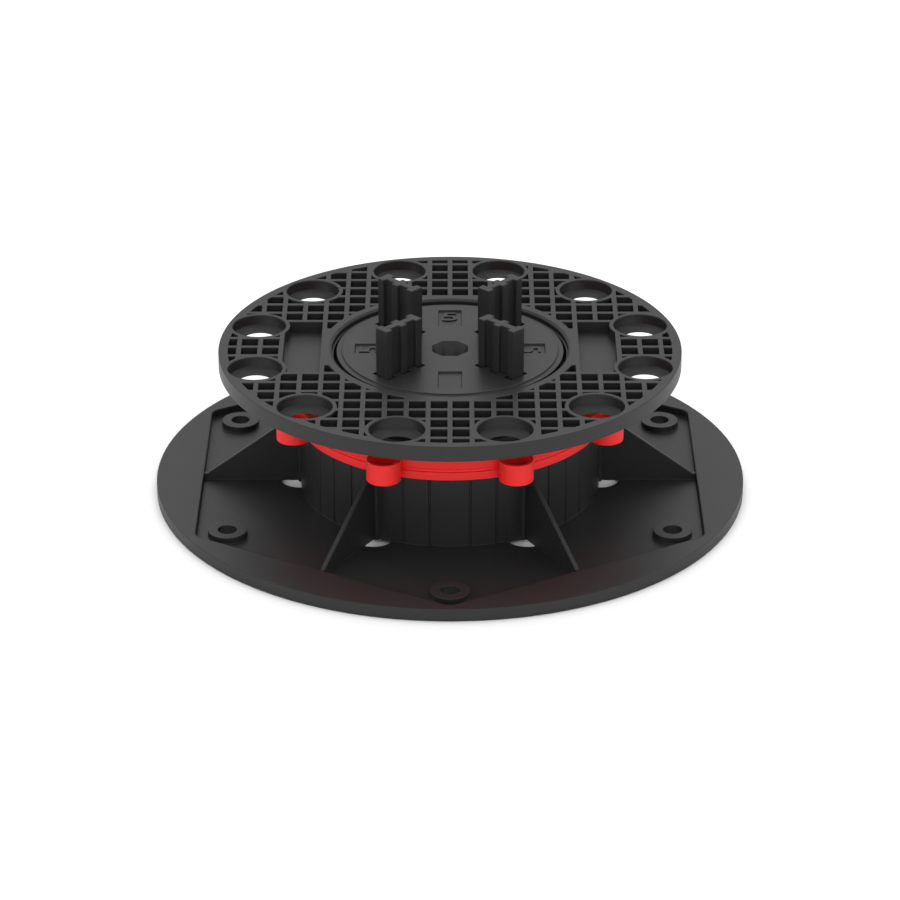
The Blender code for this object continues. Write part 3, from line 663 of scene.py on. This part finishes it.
def flare(shape, outline, bottom, top, edge):
    """Add a cutter of an outline that widens by a round edge at the top it cuts through."""
    growths = [(0.0, bottom)]
    for step in range(EASE_STEPS + 1):
        angle = math.pi / 2 * step / EASE_STEPS
        growths.append((edge * (1 - math.cos(angle)), top - edge * (1 - math.sin(angle))))
    growths.append((edge, top + OVERLAP))
    rings = []
    for growth, height in growths:
        rings.append([shape.verts.new((x, y, height)) for x, y in grown(outline, growth)])
    shape.faces.new(rings[0])
    shape.faces.new(rings[-1])
    for below, above in zip(rings, rings[1:]):
        for k in range(len(outline)):
            nearby = (k + 1) % len(outline)
            shape.faces.new((below[k], below[nearby], above[nearby], above[k]))


def flared(cells, low):
    """Cutters of the cells' outlines that leave round edges at the plate's top."""
    shape = bmesh.new()
    for face in cells.data.polygons:
        outline = [tuple(cells.data.vertices[k].co.xy) for k in face.vertices]
        area = outline_area(outline)
        if face.normal.z < UPWARD or abs(area) < SMALLEST_CELL:
            continue
        if area < 0:
            outline.reverse()
        flare(shape, outline, low, HEAD_TOP, CELL_EDGE)
    bpy.data.objects.remove(cells)
    return solid("flared_cells", shape)


def thread_ridge():
    """Right-hand helical ridge of trapezoid section round the stem's core."""
    start = STEM_BOTTOM + THREAD_ROOT
    end = HEAD_BOTTOM - THREAD_ROOT
    turns = (end - start) / THREAD_PITCH
    steps = round(turns * THREAD_STEPS)
    inner = STEM_CORE_RADIUS - RUNNING_GAP
    shape = bmesh.new()
    sections = []
    for k in range(steps + 1):
        along = k / THREAD_STEPS
        taper = min(1.0, k / THREAD_RUN_IN, (steps - k) / THREAD_RUN_IN)
        crest = STEM_CORE_RADIUS + (STEM_RADIUS - STEM_CORE_RADIUS) * taper
        middle = start + along * THREAD_PITCH
        corners = (
            (inner, middle - THREAD_ROOT / 2),
            (crest, middle - THREAD_CREST / 2),
            (crest, middle + THREAD_CREST / 2),
            (inner, middle + THREAD_ROOT / 2),
        )
        section = []
        for radius, height in corners:
            x, y = polar(radius, 360 * along)
            section.append(shape.verts.new((x, y, height)))
        sections.append(section)
    for here, there in zip(sections, sections[1:]):
        for j in range(4):
            nearby = (j + 1) % 4
            shape.faces.new((here[j], here[nearby], there[nearby], there[j]))
    shape.faces.new(sections[0])
    shape.faces.new(sections[-1])
    return solid("thread", shape)


def head_body():
    """Grid plate with countersunk holes over a threaded stem with keyways."""
    profile = [
        (SEAT_RADIUS + SEAT_CHAMFER_WIDTH, HEAD_TOP),
        (HEAD_RADIUS, HEAD_TOP),
        (HEAD_RADIUS, HEAD_BOTTOM),
        (STEM_CORE_RADIUS, HEAD_BOTTOM),
        (STEM_CORE_RADIUS, STEM_BOTTOM),
        (STEM_BORE, STEM_BOTTOM),
        (STEM_BORE, WEB_BOTTOM),
        (WEB_BORE, WEB_BOTTOM),
        (WEB_BORE, WEB_TOP),
        (SEAT_RADIUS - SEAT_LIP_WIDTH, WEB_TOP),
        (SEAT_RADIUS - SEAT_LIP_WIDTH, HEAD_TOP - SEAT_LIP_DEPTH),
        (SEAT_RADIUS, HEAD_TOP - SEAT_LIP_DEPTH),
        (SEAT_RADIUS, HEAD_TOP - SEAT_CHAMFER_DEPTH),
    ]
    head = turned("head_plate", eased(profile, HEAD_EDGE), ROUND_STEPS)
    cut(head, cell_cutters())
    hole_profile = [
        (0.0, HEAD_TOP + OVERLAP),
        (HOLE_RADIUS + CELL_EDGE, HEAD_TOP + OVERLAP),
        (HOLE_RADIUS + CELL_EDGE, HEAD_TOP),
        (HOLE_RADIUS, HEAD_TOP - CELL_EDGE),
        (HOLE_RADIUS, HEAD_TOP - HOLE_STRAIGHT_DEPTH),
        (HOLE_NECK_RADIUS, HEAD_BOTTOM),
        (HOLE_NECK_RADIUS, HEAD_BOTTOM - OVERLAP),
        (0.0, HEAD_BOTTOM - OVERLAP),
    ]
    hole = turned("screw_holes", eased(hole_profile, CELL_EDGE, closed=False), HOLE_STEPS)
    moved(hole, Matrix.Translation((HOLE_CENTRE_RADIUS, 0.0, 0.0)))
    cut(head, spun(hole, HOLE_ANGLES))
    join(head, thread_ridge())
    keyway_low = (KEYWAY_RADIUS, -KEYWAY_WIDTH / 2, STEM_BOTTOM - OVERLAP)
    keyway_high = (STEM_RADIUS + OVERLAP, KEYWAY_WIDTH / 2, HEAD_BOTTOM - OVERLAP)
    cut(head, spun(box("keyways", keyway_low, keyway_high), KEY_ANGLES))
    return shaded(head)


def socket_cutter():
    """Eight-sided tapered plug that leaves the disc's tool socket."""
    shape = bmesh.new()
    corner = math.cos(math.pi / SOCKET_SIDES)
    slope = SOCKET_TAPER / SOCKET_DEPTH
    wide = (SOCKET_APOTHEM + slope * OVERLAP) / corner
    narrow = (SOCKET_APOTHEM - SOCKET_TAPER) / corner
    height = SOCKET_DEPTH + OVERLAP
    bmesh.ops.create_cone(
        shape, cap_ends=True, segments=SOCKET_SIDES, radius1=narrow, radius2=wide, depth=height
    )
    item = solid("tool_socket", shape)
    moved(item, Matrix.Rotation(math.pi / SOCKET_SIDES, 4, "Z"))
    return moved(item, Matrix.Translation((0.0, 0.0, DISC_TOP + OVERLAP - height / 2)))


def disc_body():
    """Disc with its tool socket, numeral frames, tab sleeves and snap hub."""
    plateau = DISC_RADIUS - DISC_STEP_WIDTH
    barb_top = HUB_BOTTOM + HUB_BARB_HEIGHT
    profile = [
        (0.0, DISC_TOP),
        (plateau, DISC_TOP),
        (plateau, DISC_TOP - DISC_STEP_HEIGHT),
        (DISC_RADIUS, DISC_TOP - DISC_STEP_HEIGHT),
        (DISC_RADIUS, DISC_BOTTOM),
        (HUB_RADIUS, DISC_BOTTOM),
        (HUB_RADIUS, barb_top),
        (HUB_RADIUS + HUB_BARB, barb_top),
        (HUB_RADIUS, HUB_BOTTOM),
        (HUB_BORE, HUB_BOTTOM),
        (HUB_BORE, WEB_BOTTOM),
        (0.0, WEB_BOTTOM),
    ]
    disc = turned("disc_plate", profile, ROUND_STEPS)
    low = TAB_FOOT - OVERLAP
    high = DISC_TOP + OVERLAP
    slot_section = tab_section(RUNNING_GAP, SLOT_END_GAP)
    inner = slot_section[0][0] - SLEEVE_WALL
    outer = TAB_BAR_RADII[-1] + TAB_BAR_THICKNESS / 2 + RUNNING_GAP + SLEEVE_WALL
    half = TAB_BAR_LENGTH / 2 + SLOT_END_GAP + SLEEVE_WALL
    sleeve_section = [(inner, half), (outer, half), (outer, -half), (inner, -half)]
    slots = []
    for quarter, (side_x, side_y) in QUARTERS.items():
        outline = on_diagonal(sleeve_section, side_x, side_y)
        join(disc, prism("sleeve_" + quarter, outline, TAB_FOOT, DISC_BOTTOM + OVERLAP))
        outline = on_diagonal(slot_section, side_x, side_y)
        slots.append(prism("slot_" + quarter, outline, low, high))
    cut(disc, *slots)
    cut(disc, socket_cutter())
    frame_low = (FRAME_INNER_RADIUS, -FRAME_WIDTH / 2, DISC_TOP - FRAME_DEPTH)
    frame_high = (FRAME_OUTER_RADIUS, FRAME_WIDTH / 2, high)
    cut(disc, spun(box("numeral_frames", frame_low, frame_high), KEY_ANGLES))
    slit_low = (HUB_BORE - OVERLAP, -HUB_SLIT / 2, HUB_BOTTOM - OVERLAP)
    slit_high = (HUB_RADIUS + HUB_BARB + OVERLAP, HUB_SLIT / 2, WEB_BOTTOM - RUNNING_GAP / 2)
    cut(disc, spun(box("hub_slits", slit_low, slit_high), SLIT_ANGLES))
    return moulded(disc)


def numeral(name, degrees):
    """Raised plain numeral in a frame, its head towards the disc's rim."""
    text = bpy.data.curves.new(name, "FONT")
    text.body = NUMERAL
    text.size = NUMERAL_SIZE
    text.align_x = "CENTER"
    text.align_y = "CENTER"
    text.extrude = NUMERAL_HEIGHT
    text.resolution_u = NUMERAL_STEPS
    flat = bpy.data.objects.new(name + "_text", text)
    bpy.context.scene.collection.objects.link(flat)
    bpy.context.view_layer.update()
    graph = bpy.context.evaluated_depsgraph_get()
    mesh = bpy.data.meshes.new_from_object(flat.evaluated_get(graph))
    bpy.data.objects.remove(flat)
    bpy.data.curves.remove(text)
    item = bpy.data.objects.new(name, mesh)
    bpy.context.scene.collection.objects.link(item)
    floor = DISC_TOP - FRAME_DEPTH
    moved(item, Matrix.Diagonal((NUMERAL_STRETCH, 1.0, 1.0, 1.0)))
    moved(item, Matrix.Translation((0.0, NUMERAL_RADIUS, floor)))
    moved(item, Matrix.Rotation(math.radians(degrees - 90), 4, "Z"))
    clean(item)
    item.data.shade_smooth()
    item.data.set_sharp_from_angle(angle=math.radians(SHARP_DEGREES))
    return item


def tab_body(quarter, side_x, side_y):
    """Upright tab of ribbed section with softened edges."""
    outline = on_diagonal(tab_section(0.0, 0.0), side_x, side_y)
    tab = prism("tab_" + quarter, outline, TAB_FOOT, TAB_TOP)
    return moulded(tab, TAB_EDGE, TAB_EDGE_SEGMENTS)


def link_up(tree, *pairs):
    """Join sockets, each pair from an output to an input."""
    for source, target in pairs:
        tree.links.new(source, target)


def new_group(name, inputs, outputs):
    """Empty shader group with named float sockets, given as name and default."""
    group = bpy.data.node_groups.new(name, "ShaderNodeTree")
    for label, value in inputs:
        socket = group.interface.new_socket(label, in_out="INPUT", socket_type="NodeSocketFloat")
        socket.default_value = value
    for label in outputs:
        group.interface.new_socket(label, in_out="OUTPUT", socket_type="NodeSocketFloat")
    start = group.nodes.new("NodeGroupInput")
    end = group.nodes.new("NodeGroupOutput")
    return group, start, end


def maths(tree, operation, first, second):
    """Maths node of two values or sockets."""
    node = tree.nodes.new("ShaderNodeMath")
    node.operation = operation
    for socket, value in zip(node.inputs, (first, second)):
        if isinstance(value, (int, float)):
            socket.default_value = value
        else:
            tree.links.new(value, socket)
    return node.outputs[0]


def noise_scale(tree, size):
    """Scale of a noise from the size of its marks in millimetres."""
    return maths(tree, "DIVIDE", MM_PER_METRE, size)


def moulded_grain_group():
    """Fine spark-eroded texture of a mould, with broad flow marks."""
    group, start, end = new_group(
        "moulded_grain",
        [("Grain Size", 0.35), ("Flow Size", 25.0)],
        ["Height", "Mottle"],
    )
    place = group.nodes.new("ShaderNodeTexCoord").outputs["Object"]
    grain = group.nodes.new("ShaderNodeTexNoise")
    grain.inputs["Detail"].default_value = GRAIN_DETAIL
    grain.inputs["Roughness"].default_value = GRAIN_ROUGHNESS
    flow = group.nodes.new("ShaderNodeTexNoise")
    flow.inputs["Detail"].default_value = FLOW_DETAIL
    flow.inputs["Distortion"].default_value = FLOW_DISTORTION
    link_up(
        group,
        (place, grain.inputs["Vector"]),
        (place, flow.inputs["Vector"]),
        (noise_scale(group, start.outputs["Grain Size"]), grain.inputs["Scale"]),
        (noise_scale(group, start.outputs["Flow Size"]), flow.inputs["Scale"]),
        (grain.outputs["Fac"], end.inputs["Height"]),
        (flow.outputs["Fac"], end.inputs["Mottle"]),
    )
    return group


def edge_wear_group():
    """Mask of rubbed outer edges, broken up by noise."""
    group, start, end = new_group("edge_wear", [("Amount", 0.5), ("Break Up Size", 3.0)], ["Mask"])
    geometry = group.nodes.new("ShaderNodeNewGeometry")
    place = group.nodes.new("ShaderNodeTexCoord").outputs["Object"]
    patches = group.nodes.new("ShaderNodeTexNoise")
    ramp = group.nodes.new("ShaderNodeMapRange")
    ramp.inputs["From Min"].default_value = RUB_START
    ramp.inputs["From Max"].default_value = RUB_FULL
    worn = maths(group, "MULTIPLY", ramp.outputs["Result"], patches.outputs["Fac"])
    link_up(
        group,
        (geometry.outputs["Pointiness"], ramp.inputs["Value"]),
        (place, patches.inputs["Vector"]),
        (noise_scale(group, start.outputs["Break Up Size"]), patches.inputs["Scale"]),
        (maths(group, "MULTIPLY", worn, start.outputs["Amount"]), end.inputs["Mask"]),
    )
    return group


def plastic(name, colour, worn_colour, groups, roughness, mottle, grain_size, bump, wear):
    """Moulded plastic with grain, flow marks and rubbed edges."""
    material = bpy.data.materials.new(name)
    material.use_nodes = True
    tree = material.node_tree
    shader = tree.nodes["Principled BSDF"]
    grain = tree.nodes.new("ShaderNodeGroup")
    grain.node_tree = groups["grain"]
    grain.inputs["Grain Size"].default_value = grain_size
    edges = tree.nodes.new("ShaderNodeGroup")
    edges.node_tree = groups["edges"]
    edges.inputs["Amount"].default_value = wear

    shade = tree.nodes.new("ShaderNodeMix")
    shade.data_type = "RGBA"
    shade.inputs["A"].default_value = (*[c * (1 - mottle) for c in colour], 1.0)
    shade.inputs["B"].default_value = (*[c * (1 + mottle) for c in colour], 1.0)
    rubbed = tree.nodes.new("ShaderNodeMix")
    rubbed.data_type = "RGBA"
    rubbed.inputs["B"].default_value = (*worn_colour, 1.0)
    relief = tree.nodes.new("ShaderNodeBump")
    relief.inputs["Strength"].default_value = BUMP_STRENGTH
    relief.inputs["Distance"].default_value = bump
    rough = tree.nodes.new("ShaderNodeMapRange")
    rough.inputs["To Min"].default_value = roughness - ROUGHNESS_SWING
    rough.inputs["To Max"].default_value = roughness + ROUGHNESS_SWING
    link_up(
        tree,
        (grain.outputs["Mottle"], shade.inputs["Factor"]),
        (shade.outputs["Result"], rubbed.inputs["A"]),
        (edges.outputs["Mask"], rubbed.inputs["Factor"]),
        (rubbed.outputs["Result"], shader.inputs["Base Color"]),
        (grain.outputs["Mottle"], rough.inputs["Value"]),
        (rough.outputs["Result"], shader.inputs["Roughness"]),
        (grain.outputs["Height"], relief.inputs["Height"]),
        (relief.outputs["Normal"], shader.inputs["Normal"]),
    )
    return material


def floor_material():
    """Pale studio floor that shows white to the camera and throws little light up."""
    material = bpy.data.materials.new("studio_floor")
    material.use_nodes = True
    tree = material.node_tree
    shader = tree.nodes["Principled BSDF"]
    shader.inputs["Roughness"].default_value = 1.0
    shader.inputs["Specular IOR Level"].default_value = 0.0
    path = tree.nodes.new("ShaderNodeLightPath")
    mix = tree.nodes.new("ShaderNodeMix")
    mix.data_type = "RGBA"
    mix.inputs["A"].default_value = (FLOOR_BOUNCE, FLOOR_BOUNCE, FLOOR_BOUNCE, 1.0)
    mix.inputs["B"].default_value = (FLOOR_WHITE, FLOOR_WHITE, FLOOR_WHITE, 1.0)
    link_up(
        tree,
        (path.outputs["Is Camera Ray"], mix.inputs["Factor"]),
        (mix.outputs["Result"], shader.inputs["Base Color"]),
    )
    return material


def studio():
    """Floor, soft lamp, sky light and the camera."""
    floor = prism("studio_floor", circle(FLOOR_RADIUS, SMALL_STEPS), -2 * FLOOR_DROP, -FLOOR_DROP)
    floor.data.materials.append(floor_material())

    world = bpy.data.worlds.new("studio_sky")
    bpy.context.scene.world = world
    world.use_nodes = True
    tree = world.node_tree
    sky = tree.nodes["Background"]
    sky.inputs["Color"].default_value = (1.0, 1.0, 1.0, 1.0)
    path = tree.nodes.new("ShaderNodeLightPath")
    glossy = tree.nodes.new("ShaderNodeMix")
    glossy.inputs["A"].default_value = SKY_DIFFUSE
    glossy.inputs["B"].default_value = SKY_GLOSSY
    seen = tree.nodes.new("ShaderNodeMix")
    seen.inputs["B"].default_value = 1.0
    link_up(
        tree,
        (path.outputs["Is Glossy Ray"], glossy.inputs["Factor"]),
        (path.outputs["Is Camera Ray"], seen.inputs["Factor"]),
        (glossy.outputs["Result"], seen.inputs["A"]),
        (seen.outputs["Result"], sky.inputs["Strength"]),
    )

    for name, place, size, power in LAMPS:
        light = bpy.data.lights.new(name, "AREA")
        light.shape = "SQUARE"
        light.size = size
        light.energy = power
        lamp = bpy.data.objects.new(name, light)
        lamp.location = place
        lamp.rotation_mode = "QUATERNION"
        lamp.rotation_quaternion = (-Vector(place)).to_track_quat("-Z", "Y")
        bpy.context.scene.collection.objects.link(lamp)

    lens = bpy.data.cameras.new("camera")
    lens.sensor_width = SENSOR_WIDTH
    lens.lens = LENS
    lens.clip_start = NEAR_CLIP
    lens.clip_end = FAR_CLIP
    camera = bpy.data.objects.new("camera", lens)
    elevation = math.radians(CAMERA_ELEVATION)
    back = Vector((0.0, -math.cos(elevation), math.sin(elevation)))
    camera.location = Vector((0.0, 0.0, CAMERA_AIM_HEIGHT)) + back * CAMERA_DISTANCE
    camera.rotation_mode = "QUATERNION"
    camera.rotation_quaternion = (-back).to_track_quat("-Z", "Y")
    bpy.context.scene.collection.objects.link(camera)
    bpy.context.scene.camera = camera
    bpy.context.scene.view_settings.view_transform = "Standard"


groups = {"grain": moulded_grain_group(), "edges": edge_wear_group()}
dark = plastic("dark_plastic", GREY, WORN_GREY, groups, 0.38, 0.05, 0.35, 0.015 * MM, 0.5)
red = plastic("red_plastic", RED, WORN_RED, groups, 0.42, 0.03, 0.5, 0.01 * MM, 0.4)

placed(base_body(), "base", "dark_plastic", dark, "base")
placed(collar_body(), "collar", "red_plastic", red, "adjusting_collar")
placed(head_body(), "head", "dark_plastic", dark, "head")
placed(disc_body(), "disc", "dark_plastic", dark, "spacer_disc")
for label, degrees in NUMERAL_ANGLES.items():
    placed(numeral("numeral_" + label, degrees), "disc", "dark_plastic", dark)
for quarter, (side_x, side_y) in QUARTERS.items():
    tab = tab_body(quarter, side_x, side_y)
    placed(tab, "disc", "dark_plastic", dark, "spacer_tab_" + quarter)

studio()
